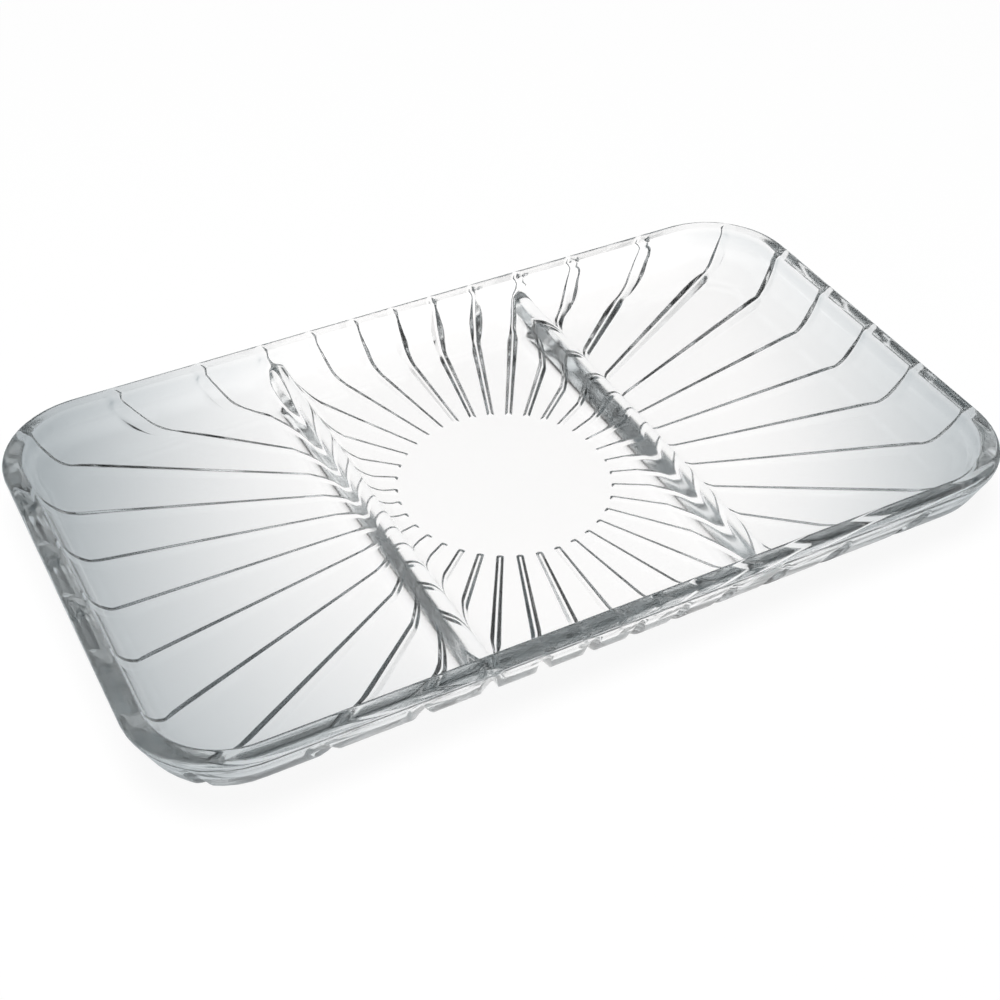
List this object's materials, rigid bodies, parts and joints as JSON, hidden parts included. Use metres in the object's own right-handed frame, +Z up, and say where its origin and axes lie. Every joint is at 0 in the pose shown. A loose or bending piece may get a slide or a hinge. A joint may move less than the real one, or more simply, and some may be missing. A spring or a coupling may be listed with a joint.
{
  "type": "relish tray",
  "caption": "Oblong clear pressed-glass relish tray with rounded corners, a flared wall, rounded dividers between its compartments and a sunburst of grooves pressed underneath.",
  "frame": {"origin": "middle of the tray's flat underside", "axes": "+X along the length, +Y across the width towards the back, +Z up"},
  "size_m": [0.305, 0.18, 0.0222],
  "materials": {
    "glass": "polished"
  },
  "bodies": {
    "root": {"floor_left": "glass", "floor_centre": "glass", "floor_right": "glass", "divider_left": "glass", "divider_right": "glass", "wall_front": "glass", "wall_back": "glass", "wall_left": "glass", "wall_right": "glass", "corner_front_left": "glass", "corner_front_right": "glass", "corner_back_left": "glass", "corner_back_right": "glass", "rim_front": "glass", "rim_back": "glass", "rim_left": "glass", "rim_right": "glass", "rim_corner_front_left": "glass", "rim_corner_front_right": "glass", "rim_corner_back_left": "glass", "rim_corner_back_right": "glass"}
  },
  "joints": []
}
